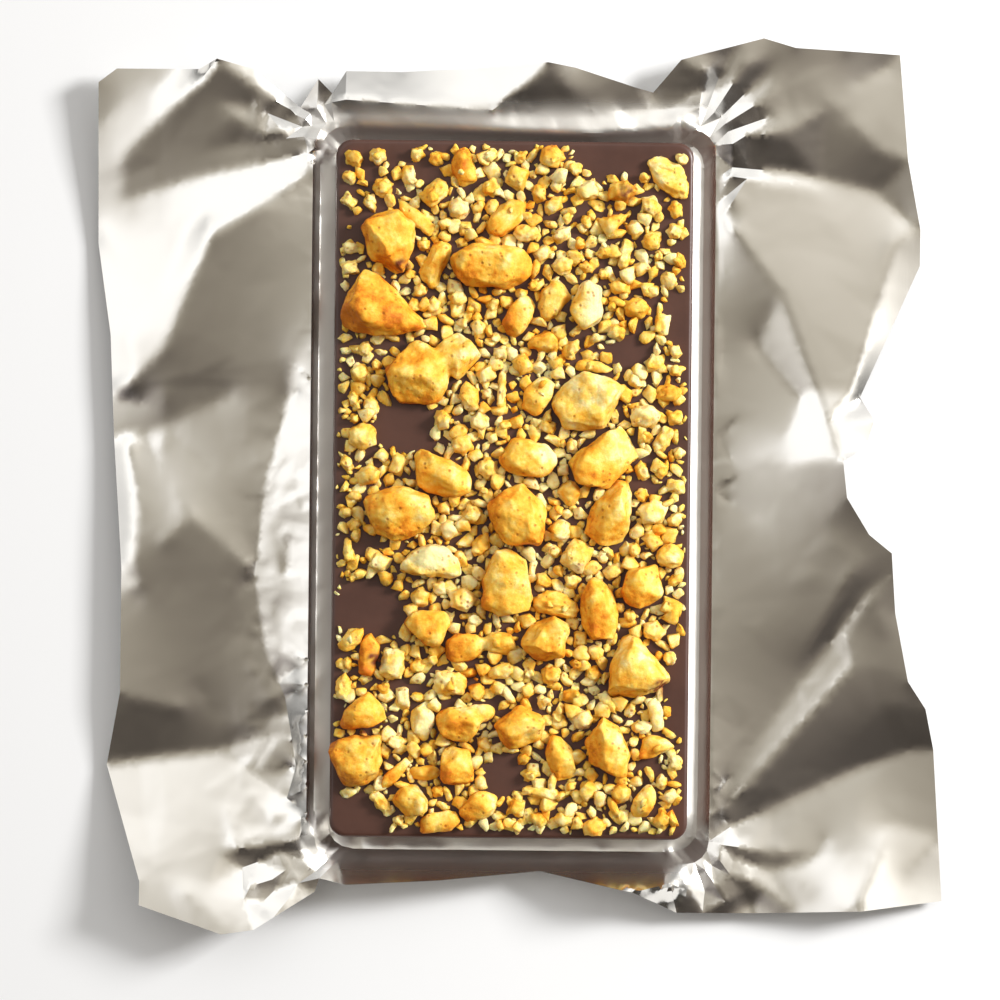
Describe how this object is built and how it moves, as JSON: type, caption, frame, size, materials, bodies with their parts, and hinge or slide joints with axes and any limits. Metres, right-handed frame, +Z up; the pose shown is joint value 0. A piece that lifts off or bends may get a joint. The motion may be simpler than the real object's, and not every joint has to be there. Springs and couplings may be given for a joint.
{
  "type": "chocolate bar",
  "caption": "Flat rectangular chocolate bar with broken honeycomb toffee pressed into its top, lying in its own opened, creased foil wrapper.",
  "frame": {"origin": "under the middle of the bar, on the surface that the wrapper lies on", "axes": "+Z up out of the topped face, +Y along the bar's long side, +X along its short side"},
  "size_m": [0.186, 0.1961, 0.0144],
  "materials": {
    "chocolate": "satin",
    "honeycomb": "matte",
    "foil": "crumpled, shiny"
  },
  "bodies": {
    "root": {"chocolate_bar": "chocolate", "foil_wrapper": "foil", "honeycomb_01": "honeycomb", "honeycomb_02": "honeycomb", "honeycomb_03": "honeycomb", "honeycomb_04": "honeycomb", "honeycomb_05": "honeycomb", "honeycomb_06": "honeycomb", "honeycomb_07": "honeycomb", "honeycomb_08": "honeycomb", "honeycomb_09": "honeycomb", "honeycomb_10": "honeycomb", "honeycomb_11": "honeycomb", "honeycomb_12": "honeycomb", "honeycomb_13": "honeycomb", "honeycomb_14": "honeycomb", "honeycomb_15": "honeycomb", "honeycomb_16": "honeycomb", "honeycomb_17": "honeycomb", "honeycomb_18": "honeycomb", "honeycomb_19": "honeycomb", "honeycomb_20": "honeycomb", "honeycomb_21": "honeycomb", "honeycomb_22": "honeycomb", "honeycomb_23": "honeycomb", "honeycomb_24": "honeycomb", "honeycomb_25": "honeycomb", "honeycomb_26": "honeycomb", "honeycomb_27": "honeycomb", "honeycomb_28": "honeycomb", "honeycomb_29": "honeycomb", "honeycomb_30": "honeycomb", "honeycomb_31": "honeycomb", "honeycomb_32": "honeycomb", "honeycomb_33": "honeycomb", "honeycomb_34": "honeycomb", "honeycomb_35": "honeycomb", "honeycomb_36": "honeycomb", "honeycomb_37": "honeycomb", "honeycomb_38": "honeycomb", "honeycomb_39": "honeycomb", "honeycomb_40": "honeycomb", "honeycomb_41": "honeycomb", "honeycomb_42": "honeycomb"}
  },
  "joints": []
}
